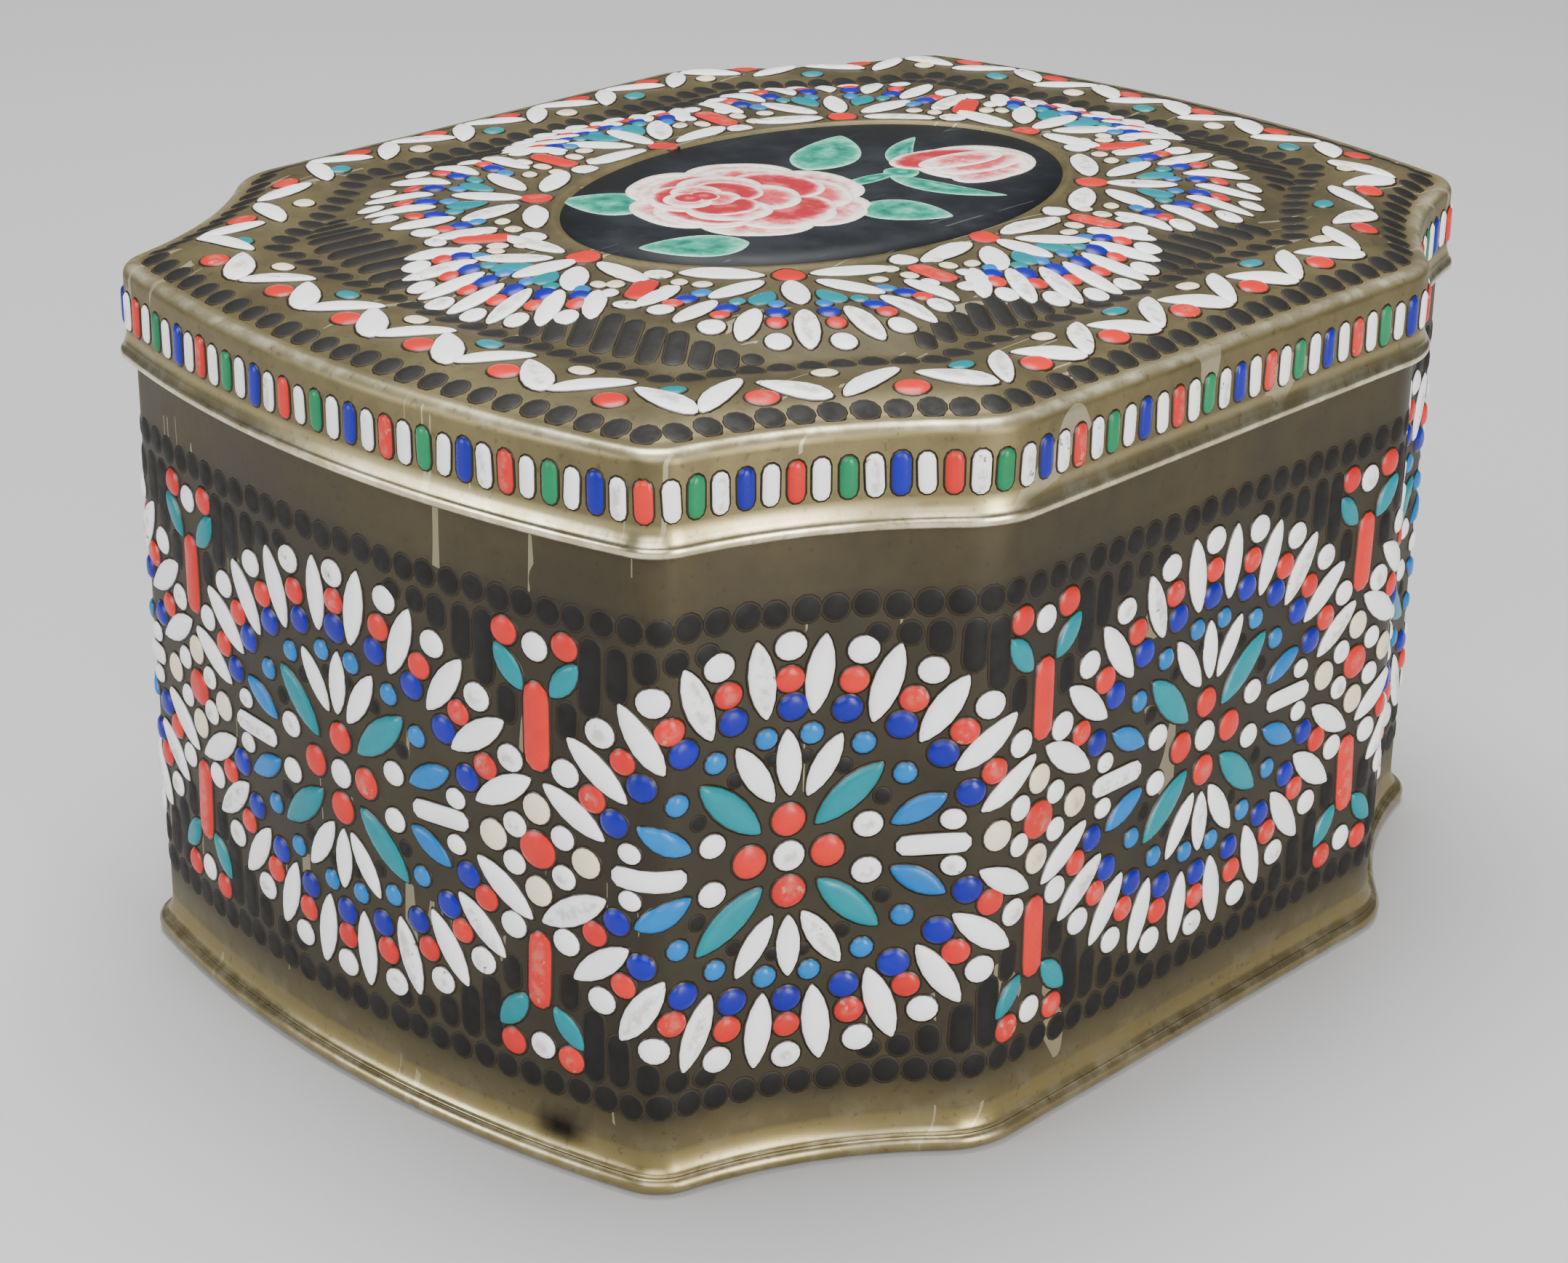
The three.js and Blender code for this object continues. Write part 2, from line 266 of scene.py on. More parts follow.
def group_tree(name, result, **values):
    """A node group that takes a vector and named numbers and puts out a mask or a normal, with the
    sockets inside it."""
    tree = bpy.data.node_groups.new(name, "ShaderNodeTree")
    tree.interface.new_socket("Vector", in_out="INPUT", socket_type="NodeSocketVector")
    for label, value in values.items():
        socket = tree.interface.new_socket(label, in_out="INPUT", socket_type="NodeSocketFloat")
        socket.default_value = value
    kind = "NodeSocketVector" if result == "Normal" else "NodeSocketFloat"
    tree.interface.new_socket(result, in_out="OUTPUT", socket_type=kind)
    return tree, tree.nodes.new("NodeGroupInput").outputs, tree.nodes.new("NodeGroupOutput").inputs


def feed(tree, value, socket):
    """Links a socket to another, or sets it to a value."""
    if isinstance(value, bpy.types.NodeSocket):
        tree.links.new(value, socket)
    else:
        socket.default_value = value


def add_node(tree, kind, inputs=None, **settings):
    """A node with its settings made and the named inputs fed."""
    made = tree.nodes.new(kind)
    for key, value in settings.items():
        setattr(made, key, value)
    for key, value in (inputs or {}).items():
        feed(tree, value, made.inputs[key])
    return made


def blend_colour(tree, factor, a, b):
    """Colour a going over to b by a factor."""
    return add_node(tree, "ShaderNodeMix", {0: factor, 6: a, 7: b}, data_type="RGBA").outputs[2]


def calc(tree, operation, *values, clamp=False):
    """A math node on sockets or numbers."""
    inputs = dict(enumerate(values))
    return add_node(tree, "ShaderNodeMath", inputs, operation=operation, use_clamp=clamp).outputs[0]


def build_patches():
    """Soft patches: noise at a scale, turned into a mask between two levels."""
    tree, given, out = group_tree("patches", "Mask", Scale=100.0, Low=0.45, High=0.65)
    noise = add_node(tree, "ShaderNodeTexNoise", {
        "Vector": given["Vector"], "Scale": given["Scale"], "Detail": 4.0, "Roughness": 0.6})
    ramp = add_node(tree, "ShaderNodeMapRange", {
        "Value": noise.outputs["Fac"], "From Min": given["Low"], "From Max": given["High"]},
        interpolation_type="SMOOTHSTEP")
    tree.links.new(ramp.outputs["Result"], out["Mask"])
    return tree


def build_scratches():
    """Fine straight scratches: thin bands of a strongly stretched noise, broken into short lengths."""
    tree, given, out = group_tree("scratches", "Mask", Scale=60.0, Width=0.02)
    stretch = add_node(tree, "ShaderNodeMapping", {
        "Vector": given["Vector"], "Scale": (1.0, 0.04, 0.04), "Rotation": (0.3, 0.5, 0.7)})
    noise = add_node(tree, "ShaderNodeTexNoise", {
        "Vector": stretch.outputs["Vector"], "Scale": given["Scale"], "Detail": 1.0, "Roughness": 0.5})
    off = calc(tree, "ABSOLUTE", calc(tree, "SUBTRACT", noise.outputs["Fac"], 0.5))
    line = calc(tree, "LESS_THAN", off, given["Width"])
    gate = add_node(tree, "ShaderNodeTexNoise", {
        "Vector": given["Vector"], "Scale": 90.0, "Detail": 1.0})
    gated = calc(tree, "MULTIPLY", line, calc(tree, "GREATER_THAN", gate.outputs["Fac"], 0.62))
    tree.links.new(gated, out["Mask"])
    return tree


def build_fine_bump():
    """Small unevenness of a pressed and printed sheet, as a normal."""
    tree, given, out = group_tree("fine_bump", "Normal", Scale=500.0, Strength=0.2, Distance=0.0002)
    noise = add_node(tree, "ShaderNodeTexNoise", {
        "Vector": given["Vector"], "Scale": given["Scale"], "Detail": 3.0, "Roughness": 0.55})
    bump = add_node(tree, "ShaderNodeBump", {
        "Strength": given["Strength"], "Distance": given["Distance"], "Height": noise.outputs["Fac"]})
    tree.links.new(bump.outputs["Normal"], out["Normal"])
    return tree


PATCHES = build_patches()
SCRATCHES = build_scratches()
FINE_BUMP = build_fine_bump()


def use_group(tree, group, **values):
    """A placed node group with its inputs fed."""
    return add_node(tree, "ShaderNodeGroup", values, node_tree=group).outputs[0]


def material(name):
    """An empty material: itself, its tree, its shader and Object coordinates."""
    made = bpy.data.materials.new(name)
    made.use_nodes = True
    tree = made.node_tree
    place = tree.nodes.new("ShaderNodeTexCoord").outputs["Object"]
    return made, tree, tree.nodes["Principled BSDF"], place


def attribute(tree, key):
    """The value of a mesh attribute."""
    return add_node(tree, "ShaderNodeAttribute", attribute_name=key).outputs["Fac"]


def patches(tree, place, scale, low, high):
    """A mask of soft patches."""
    return use_group(tree, PATCHES, Vector=place, Scale=scale, Low=low, High=high)


def share_of(tree, mask, share):
    """A mask made fainter."""
    return calc(tree, "MULTIPLY", mask, share)


def complete(tree, shader, place, colour, roughness, scale, strength, distance):
    """Feeds colour and roughness to a material's shader, and its fine bump."""
    bump = use_group(tree, FINE_BUMP, Vector=place, Scale=scale, Strength=strength, Distance=distance)
    for value, key in ((colour, "Base Color"), (roughness, "Roughness"), (bump, "Normal")):
        feed(tree, value, shader.inputs[key])


def ranged(tree, mask, low, high):
    """A value that goes from low to high with a mask."""
    return add_node(tree, "ShaderNodeMapRange", {
        "Value": mask, "To Min": low, "To Max": high}).outputs["Result"]


def rgb(red, green, blue):
    """A colour from its screen values, 0 to 255, made linear."""
    channels = np.array([red, green, blue]) / 255
    linear = np.where(channels <= 0.04045, channels / 12.92, ((channels + 0.055) / 1.055) ** 2.4)
    return (*linear.tolist(), 1.0)


# Grime in the lacquer, unprinted tin, soot, painted shade round the foot of beads, and scratches in black
# lacquer
GRIME, BARE_TIN, SOOT = rgb(38, 30, 20), rgb(168, 156, 124), rgb(26, 20, 14)
PAINTED_BEAD_SHADE, PALE_SCRATCH = rgb(44, 36, 24), rgb(120, 122, 124)


def gilt_metal(name, dark, gold, worn):
    """Printed gold lacquer on tin: attribute gilt goes from the dark print to gold, and in the coves also
    paints a sheen; edge lays the pale worn colour in patches, as wear and as painted highlight lines;
    and plain is the unprinted inner face."""
    made, tree, shader, place = material(name)
    broad = patches(tree, place, 38.0, 0.35, 0.68)
    small = patches(tree, place, 260.0, 0.4, 0.7)
    speck = patches(tree, place, 900.0, 0.6, 0.68)
    lines = use_group(tree, SCRATCHES, Vector=place, Scale=260.0, Width=0.012)
    gilt, plain, edge, soot = (attribute(tree, key) for key in ("gilt", "plain", "edge", "soot"))
    share = calc(tree, "ADD", gilt, share_of(tree, broad, 0.08), clamp=True)
    # Pale worn colour where edge is set: wear, and painted highlight lines on beads, coves and the
    # shoulder
    wear = calc(tree, "MULTIPLY", edge, calc(tree, "ADD", small, 0.45), clamp=True)
    ground = blend_colour(tree, share, dark, gold)
    for mask, over in (
            (share_of(tree, small, 0.25), dark), (wear, worn), (share_of(tree, speck, 0.3), GRIME),
            (plain, BARE_TIN), (soot, SOOT), (share_of(tree, lines, 0.3), worn)):
        ground = blend_colour(tree, mask, ground, over)
    polish = calc(tree, "SUBTRACT", share_of(tree, broad, 0.12), share_of(tree, gilt, 0.24))
    rough = calc(tree, "ADD", calc(tree, "ADD", polish, 0.44), share_of(tree, soot, 0.4))
    feed(tree, ranged(tree, gilt, 0.5, 1.0), shader.inputs["Metallic"])
    complete(tree, shader, place, ground, rough, 420.0, 0.25, 0.00012)
    return made


def enamel(name, colour, deep, roughness, chip=None, chipping=0.0):
    """Glossy printed colour on pressed beads: attribute tone shifts each bead towards its deeper
    colour, rim draws a dark outline of painted shade round its foot, and chips let another colour through."""
    made, tree, shader, place = material(name)
    shader.inputs["Specular IOR Level"].default_value = 0.3
    cloud = patches(tree, place, 330.0, 0.35, 0.7)
    tone = share_of(tree, attribute(tree, "tone"), 0.6)
    mixed = calc(tree, "ADD", tone, share_of(tree, cloud, 0.3), clamp=True)
    body = blend_colour(tree, mixed, colour, deep)
    if chip:
        wear = attribute(tree, "wear")
        flake = patches(tree, place, 620.0, 0.66 - chipping, 0.7 - chipping)
        smudge = patches(tree, place, 700.0, 0.4, 0.62)
        worn = calc(tree, "MULTIPLY", smudge, calc(tree, "MULTIPLY", attribute(tree, "crown"), wear))
        body = blend_colour(tree, share_of(tree, worn, 0.5), body, chip)
        body = blend_colour(tree, calc(tree, "MULTIPLY", flake, wear), body, chip)
    # Painted shade: a dark outline round the foot of each bead
    edge = add_node(tree, "ShaderNodeMapRange", {
        "Value": attribute(tree, "rim"), "From Min": 0.3, "From Max": 0.75})
    body = blend_colour(tree, edge.outputs["Result"], body, PAINTED_BEAD_SHADE)
    rough = ranged(tree, cloud, roughness - 0.06, roughness + 0.12)
    complete(tree, shader, place, body, rough, 900.0, 0.18, 0.00008)
    return made


# Each: dark print, gold, and the pale worn colour, which also paints highlight lines
GILT_WALL = gilt_metal("gilt_wall", rgb(46, 41, 30), rgb(150, 133, 82), rgb(214, 202, 164))
GILT_LID = gilt_metal("gilt_lid", rgb(50, 46, 35), rgb(172, 156, 104), rgb(232, 222, 192))
PLAIN_TIN = gilt_metal("plain_tin", rgb(66, 58, 38), rgb(138, 122, 76), rgb(196, 184, 150))
# Enamels: colour, deeper colour, roughness, and for some the colour of chips and how many more of them
ENAMELS = {name: enamel(f"{name}_enamel", *look) for name, look in {
    "white": (rgb(250, 250, 250), rgb(236, 236, 238), 0.3, rgb(150, 138, 120)),
    "cream": (rgb(238, 228, 200), rgb(222, 208, 172), 0.3, rgb(150, 134, 108)),
    "coral": (rgb(214, 42, 32), rgb(182, 30, 28), 0.32, rgb(190, 116, 100), 0.03),
    "blue": (rgb(18, 22, 158), rgb(12, 14, 126), 0.3),
    "azure": (rgb(0, 118, 190), rgb(0, 98, 166), 0.3),
    "green": (rgb(0, 132, 144), rgb(0, 112, 120), 0.3),
    "black": (rgb(17, 15, 11), rgb(12, 10, 7), 0.6),
    "jade": (rgb(14, 128, 80), rgb(8, 106, 66), 0.32),
}.items()}


# Sheet metal

def wall_profile():
    """Profile of the wall with its attributes: outer cove, straight face, curl, inner face and cove."""
    foot = WALL_INSET - COVE_FLARE
    cove_top = FOOT_BEAD + COVE_HEIGHT
    quarter = pi / 2
    curl_end = pi - 1.2 * pi
    curl = (WALL_INSET + CURL_RADIUS, WALL_TOP - CURL_RADIUS)
    outer_cove = arc(foot, cove_top, COVE_FLARE, COVE_HEIGHT, -quarter, 0, 8)
    face = np.column_stack([np.full(len(FACE_HEIGHTS), WALL_INSET), FACE_HEIGHTS])
    outer_curl = arc(*curl, CURL_RADIUS, CURL_RADIUS, pi, curl_end, 12)
    inside = CURL_RADIUS - SHEET
    inner_curl = arc(*curl, inside, inside, curl_end, pi, 8)
    inner_cove = arc(foot, cove_top, COVE_FLARE + SHEET, COVE_HEIGHT + SHEET, 0, -quarter, 8)
    profile = np.concatenate([outer_cove, face, outer_curl, inner_curl, inner_cove])
    # The cove's gold print brightens towards the foot as a painted sheen
    gilt = np.concatenate([
        np.interp(outer_cove[:, 1], [2.2, 4.6, 5.2], [0.8, 0.55, 0.2]), FACE_GILT,
        np.full(len(outer_curl), 0.6), np.full(len(inner_curl) + len(inner_cove), 0.5)])
    printed = len(outer_cove) + len(face) + 2 * len(outer_curl) // 3
    plain = (np.arange(len(profile)) >= printed).astype(float)
    # The cove's foot gets the pale worn colour: wear, and a painted highlight line above the foot bead
    edge = np.zeros(len(profile))
    edge[:len(outer_cove)] = np.interp(outer_cove[:, 1], [2.2, 3.0], [0.6, 0.1])
    return profile, {"gilt": gilt, "plain": plain, "edge": edge}


def wall_sheet():
    """The wall strip as one smooth skin, with a sooty patch in its cove."""
    profile, values = wall_profile()
    verts, faces, attributes = skin(plan_rings(profile), values, True)
    place = np.tile(Track(plan(WALL_INSET)).length[:-1], len(profile))
    along, up = (place - SOOT_AT[0]) / SOOT_REACH[0], (verts[:, 2] - SOOT_AT[1]) / SOOT_REACH[1]
    near = np.exp(-along ** 4 - up ** 4)
    attributes["soot"] = near * (attributes["plain"] < 0.5)
    new_piece("wall_sheet", verts, faces, attributes, GILT_WALL, "box_wall")


def base_sheet():
    """The base plate with its edge rolled round the foot of the wall."""
    half = FOOT_BEAD / 2
    foot = WALL_INSET - COVE_FLARE
    seat = FOOT_BEAD - SHEET
    bead = arc(half, half, half, half, 1.5 * pi, acos((foot - half) / half), 14)
    profile = np.concatenate([
        [[FOOT_BEAD + SHEET, PLATE_RECESS], [FOOT_BEAD, 0.15], [FOOT_BEAD - 0.3, 0.0]], bead,
        [[foot, seat], [FOOT_BEAD, seat], [FOOT_BEAD + SHEET, PLATE_RECESS + SHEET]]])
    gilt = np.concatenate([[0.35, 0.5, 0.6], np.full(len(bead), 0.8), [0.5, 0.4, 0.4]])
    plain = np.concatenate([np.zeros(3 + len(bead)), [0.0, 1.0, 1.0]])
    # Pale worn colour on the bead: rubbed wear underneath, and a painted highlight line along its top
    rubbed_and_highlit = np.interp(bead[:, 1], [0.0, 0.4, 1.4, 2.2], [0.9, 0.3, 0.3, 0.9])
    edge = np.concatenate([[0.0, 0.4, 0.8], rubbed_and_highlit, [0.0, 0.0, 0.0]])
    values = {"gilt": gilt, "plain": plain, "edge": edge, "soot": 0 * gilt}
    verts, faces, attributes = skin(plan_rings(profile), values, False)
    new_piece("base_sheet", verts, faces, attributes, PLAIN_TIN, "base_plate")


def oval_points(like, half_x, half_y):
    """Points of an ellipse on the rays of another ring."""
    scale = 1 / np.hypot(like[:, 0] / half_x, like[:, 1] / half_y)
    return like[:, :2] * scale[:, None]


# How gilt the lid's top is at an inset
TOP_GILT = ((3.3, 0.3), (5.0, 0.22), (7.0, 0.2), (12.0, 0.22), (16.5, 0.16), (18.5, 0.14))


def lid_top():
    """Rings of the lid's top from the seat inwards, as plan points, height and gilt."""
    insets = np.concatenate([np.arange(SEAT_END, SLOPE_INSET + 1.5, 0.6), [SLOPE_INSET + 2.0]])
    rings = [at_height(plan(d, lid_cut(d)), SHOULDER + lid_rise(d)) for d in insets]
    gilt = np.interp(insets, *np.transpose(TOP_GILT))
    platform = SHOULDER + PLATFORM_RISE
    rim = [(2.4, 0.0, 0.14), (1.8, 0.12, 0.16), (1.3, 0.3, 0.2), (0.9, OVAL_RIM_RISE, 0.3),
           (0.45, OVAL_RIM_RISE - 0.05, 0.3), (0.0, OVAL_RIM_RISE - OVAL_RECESS, 0.2)]
    for out, rise, share in rim:
        rings.append(at_height(oval_points(rings[0], OVAL_X + out, OVAL_Y + out), platform + rise))
        gilt = np.append(gilt, share)
    return rings, gilt


def lid_sheet():
    """The lid as one pressed sheet: top, rounded shoulder, skirt, cove and rolled bead."""
    bead = WALL_INSET - LID_PLAY
    half = bead / 2
    centre = SKIRT_INSET + SHOULDER_ROUND
    round_z = SHOULDER - SHOULDER_ROUND
    bead_z = SHOULDER - SKIRT_DROP + half
    cove_top = bead_z + half + LID_COVE_HEIGHT
    inner = SHOULDER_ROUND - SHEET
    quarter = pi / 2
    inside = np.concatenate([
        arc(centre, round_z, inner, inner, quarter, pi, 6), [[SKIRT_INSET + SHEET, cove_top]]])
    roll = arc(half, bead_z, half, half, 0, -BEAD_TURN, 18)
    cove = arc(0, cove_top, SKIRT_INSET, LID_COVE_HEIGHT, -LID_COVE_TURN, 0, 6)
    shoulder = arc(centre, round_z, SHOULDER_ROUND, SHOULDER_ROUND, pi, quarter, 10)
    sides = np.concatenate([inside, roll, cove, shoulder])
    top, top_gilt = lid_top()
    below = [ring - [0, 0, SHEET] for ring in reversed(top)]
    rings = below + plan_rings(sides) + top
    hidden = len(below) + len(inside)
    # The cove's gold print brightens towards the bead as a painted sheen
    gilt = np.concatenate([
        np.full(hidden, 0.4), np.full(len(roll), 0.95),
        np.interp(cove[:, 1], [81.4, 82.6, 83.2], [0.9, 0.7, 0.3]),
        np.linspace(0.32, 0.5, len(shoulder)), top_gilt])
    plain = np.concatenate([np.ones(hidden), [1.0, 0.6], np.zeros(len(rings) - hidden - 2)])
    # Pale worn colour on the bead's outer face, the cove and the shoulder's corner: wear, and painted
    # highlight lines
    edge = np.concatenate([
        np.zeros(hidden), np.interp(np.arange(len(roll)), [4, 9, 12, 16], [0.5, 0.8, 1.0, 0.7]),
        np.linspace(0.4, 0.0, len(cove)), [0, 0, 0, 0.1, 0.3, 0.5, 0.6, 0.5, 0.4, 0.3, 0.2],
        np.zeros(len(top))])
    values = {"gilt": gilt, "plain": plain, "edge": edge, "soot": 0 * gilt}
    verts, faces, attributes = skin(rings, values, False)
    new_piece("lid_sheet", verts, faces, attributes, GILT_LID, "lid")
    return top


# Beads

RIM_OUT, RIM_SINK = 0.3, 0.03
# Power of the sine of the angle that gives the half width of beads with a point at each end
BEAD_POWERS = {"lens": 1.5, "petal": 1.2, "drop": 1.25}
DROP_LEAN = 0.28


def bead_shape(kind, length, width, height, bend=0.0, sectors=16):
    """A low dome on an outline: an ellipse, a stadium, or a lens, petal or drop whose half width is
    the sine of the angle to a power; a drop is fuller at one end. Rings step inwards from a sunk rim,
    dark with painted shade, to the flat of the crown. Returns x, y, height and rim, and the quads and
    end faces."""
    a, b = length / 2, width / 2
    angle = 2 * pi * (np.arange(sectors) + 0.5) / sectors
    ahead, aside = np.cos(angle), np.sin(angle)
    steps = [(-RIM_OUT, -RIM_SINK, 1.0), (0.0, 0.05, 1.0), (0.14, 0.5 * height, 0.0),
             (0.36, 0.85 * height, 0.0), (0.72, height, 0.0)]
    x, y, h, rim = [], [], [], []
    for inwards, lift, dark in steps:
        off = inwards if inwards < 0 else inwards * b
        la, lb = a - off, b - off
        px, py = la * ahead, lb * aside
        if kind == "pill":
            past = np.clip((np.abs(px) - (la - lb)) / lb, 0, 1)
            py = lb * np.sign(aside) * np.sqrt(1 - past ** 2)
        elif kind in BEAD_POWERS:
            py = lb * np.sign(aside) * np.abs(aside) ** BEAD_POWERS[kind]
        if kind == "drop":
            py = py * (1 + DROP_LEAN * ahead)
        x.append(px)
        y.append(py + bend * (1 - (px / a) ** 2))
        h.append(np.full(sectors, lift))
        rim.append(np.full(sectors, dark))
    j = np.arange(sectors // 2 - 1)
    strip = np.stack([j, j + 1, sectors - 2 - j, sectors - 1 - j], 1)
    ends = np.concatenate([strip[:, ::-1], strip + (len(steps) - 1) * sectors])
    return [np.concatenate(v) for v in (x, y, h, rim)] + [ring_quads(len(steps), sectors), ends]


class Mosaic:
    """Beads of one area, gathered by colour and laid on its surface by a wrapping function."""

    def __init__(self, name, wrap, jitter=0.1):
        self.name, self.wrap, self.jitter, self.beads = name, wrap, jitter, {}

    def lay(self, colour, kind, length, width, places, height, bend=0.0, sectors=16):
        """Lays one shape at places, rows of u, v and an angle in degrees."""
        places = np.atleast_2d(np.asarray(places, float))
        count = len(places)
        x, y, h, rim, quads, ends = bead_shape(kind, length, width, height, bend, sectors)
        turn = np.radians(places[:, 2] + rng.normal(0, 1.6, count))[:, None]
        size = rng.normal(1, 0.025, count)[:, None]
        u = places[:, 0, None] + rng.normal(0, self.jitter, count)[:, None]
        v = places[:, 1, None] + rng.normal(0, self.jitter, count)[:, None]
        u = u + size * (x * np.cos(turn) - y * np.sin(turn))
        v = v + size * (x * np.sin(turn) + y * np.cos(turn))
        each = np.arange(count)[:, None, None] * len(x)
        self.beads.setdefault(colour, []).append((
            u.ravel(), v.ravel(), np.tile(h, count), np.tile(rim, count),
            np.repeat(rng.random(count), len(x)), np.repeat(rng.random(count) < 0.3, len(x)),
            (quads[None] + each).reshape(-1, 4), (ends[None] + each).reshape(-1, 4)))

    def build(self):
        """One piece for each colour."""
        for colour, groups in self.beads.items():
            start, faces = 0, []
            for group in groups:
                faces += (group[6] + start).tolist() + (group[7] + start).tolist()
                start += len(group[0])
            u, v, h, rim, tone, wear = (np.concatenate([g[k] for g in groups]) for k in range(6))
            tops = [np.repeat(g[2].max(), len(g[2])) for g in groups]
            crown = (h > 0.99 * np.concatenate(tops)).astype(float)
            attributes = {"rim": rim, "tone": tone, "wear": wear.astype(float), "crown": crown}
            new_piece(f"{self.name}_{colour}", self.wrap(u, v, h), faces, attributes,
                      ENAMELS[colour])


def wall_wrap(inset):
    """Wraps u along the wall, v up and h outwards round the plan at an inset."""
    track = Track(plan(inset))

    def wrap(u, v, h):
        place, normal = track.at(u)
        return np.column_stack([place + normal * h[:, None], v])

    return track.perimeter, wrap


def four_ways(u, v, angle):
    """A place in the first quarter mirrored to the others, once where it lies on an axis."""
    rows = []
    for side in ((1, -1) if abs(u) > 0.01 else (1,)):
        for up in ((1, -1) if abs(v) > 0.01 else (1,)):
            turn = atan2(up * sin(radians(angle)), side * cos(radians(angle)))
            rows.append((side * u, up * v, degrees(turn)))
    return rows


def repeated(rows, shifts):
    """Rows of places at every shift along u."""
    return [(u + shift, v, angle) for shift in shifts for u, v, angle in rows]


# Rings of beads of a medallion's quarter: colour, length, width, half axes of the ring, spacing
MEDALLION_RINGS = (
    ("white", 3.9, 3.6, 30.4, 25.8, 16.4),
    ("coral", 3.6, 3.4, 26.0, 21.9, 16.8),
    ("blue", 3.7, 3.5, 22.4, 18.5, 17.6),
)
# Further beads of the quarter: colour, shape, length, width, u, v, angle
MEDALLION_INNER = (
    ("azure", "oval", 2.9, 2.8, 2.7, 15.0, 0),
    ("azure", "oval", 2.9, 2.8, 8.9, 13.0, 0),
    ("azure", "oval", 2.9, 2.8, 13.5, 9.0, 0),
    ("azure", "lens", 7.4, 3.1, 15.3, 4.6, 28),
    ("green", "lens", 10.8, 3.9, 7.2, 7.0, 43),
    ("white", "lens", 8.2, 3.1, 0, 11.5, 90),
    ("white", "lens", 8.8, 3.1, 4.0, 10.8, 57),
    ("black", "oval", 1.6, 1.6, 1.9, 12.3, 0),
    ("black", "oval", 1.8, 1.8, 6.5, 10.5, 0),
    ("black", "oval", 2.0, 2.0, 11.0, 6.3, 0),
    ("white", "oval", 3.6, 3.3, 9.4, 3.0, 0),
    ("white", "oval", 3.1, 2.7, 19.3, 2.9, 0),
    ("white", "pill", 9.2, 2.8, 17.0, 0, 0),
    ("white", "oval", 4.0, 4.0, 0, 0, 0),
    ("coral", "oval", 4.2, 4.2, 4.7, 0, 0),
    ("coral", "oval", 4.2, 4.2, 0, 4.6, 0),
)
DIVIDER = (
    ("coral", "oval", 5.2, 4.8, 0, 0, 0),
    ("cream", "oval", 4.1, 4.0, 6.6, 0, 0),
    ("cream", "oval", 4.0, 4.0, 0, 5.2, 0),
    ("white", "oval", 3.4, 3.2, 3.3, 2.5, 0),
    ("coral", "pill", 10.9, 3.6, 0, 15.4, 90),
    ("black", "pill", 4.7, 2.6, 4.2, 17.0, 90),
    ("green", "lens", 6.3, 3.1, 4.0, 21.9, 50),
    ("white", "oval", 3.7, 3.6, 0, 25.2, 0),
    ("coral", "oval", 3.8, 3.6, 4.1, 26.1, 0),
)
PETAL_SIZE, PETAL_RING = (10.0, 3.5), (27.6, 22.3)
FIRST_PETAL, PETAL_SPACING, LEAST_TILT = 82.7, 16.6, 33.0
SPANDREL = ((10.0, 2.6), (13.7, 3.0), (17.3, 4.2), (20.9, 6.8), (24.2, 9.3))
SPANDREL_EDGE = 27.7


def wall_mosaic():
    """Medallions, dividers, spandrels and dot rows of the wall."""
    perimeter, wrap = wall_wrap(WALL_INSET)
    mosaic = Mosaic("wall", wrap)
    pitch = perimeter / MEDALLIONS
    middles = np.arange(MEDALLIONS) * pitch
    dividers = middles + pitch / 2

    def lay(colour, kind, length, width, u, v, angle, shifts, **more):
        rows = four_ways(u, v, angle)
        rows = [(du, dv + BAND_MIDDLE, turn) for du, dv, turn in rows]
        mosaic.lay(colour, kind, length, width, repeated(rows, shifts), **more)

    across, up = PETAL_RING
    for i in range(5):
        a = radians(FIRST_PETAL - PETAL_SPACING * i)
        square = degrees(atan2(sin(a) / up, cos(a) / across))
        lay("white", "lens", *PETAL_SIZE, across * cos(a), up * sin(a),
            max(square, LEAST_TILT), middles, height=PETAL_RISE)
    for colour, length, width, ring_u, ring_v, spacing in MEDALLION_RINGS:
        for i in range(5):
            a = radians(90 - spacing * i)
            lay(colour, "oval", length, width, ring_u * cos(a), ring_v * sin(a), 0, middles,
                height=BEAD_RISE)
    for row in MEDALLION_INNER:
        lay(*row, middles, sectors=12 if row[2] < 3 else 16,
            height=BLACK_RISE if row[0] == "black" else BEAD_RISE)
    for row in DIVIDER:
        lay(*row, dividers, height=BLACK_RISE if row[0] == "black" else BEAD_RISE)
    for u, length in SPANDREL:
        lay("black", "pill", length, 2.9, u, SPANDREL_EDGE - length / 2, 90, middles,
            height=BLACK_RISE)
    for z in DOT_ROWS:
        s = (np.arange(DOTS_ROUND) + 0.5) * perimeter / DOTS_ROUND
        places = np.column_stack([s, np.full(DOTS_ROUND, z), s * 0])
        mosaic.lay("black", "oval", DOT_SIZE, DOT_SIZE, places, height=BLACK_RISE, sectors=12)
    mosaic.build()


def skirt_mosaic():
    """Upright pills round the lid's skirt, white between three colours in turn."""
    perimeter, wrap = wall_wrap(SKIRT_INSET)
    mosaic = Mosaic("skirt", wrap, jitter=0.05)
    s = (np.arange(SKIRT_PILLS) + SKIRT_SHIFT) * perimeter / SKIRT_PILLS
    for k, colour in enumerate(SKIRT_TURNS):
        own = s[k::len(SKIRT_TURNS)]
        places = np.column_stack([own, np.full(len(own), SKIRT_MIDDLE), own * 0 + 90])
        mosaic.lay(colour, "pill", *SKIRT_PILL, places, height=SKIRT_RISE)
    mosaic.build()


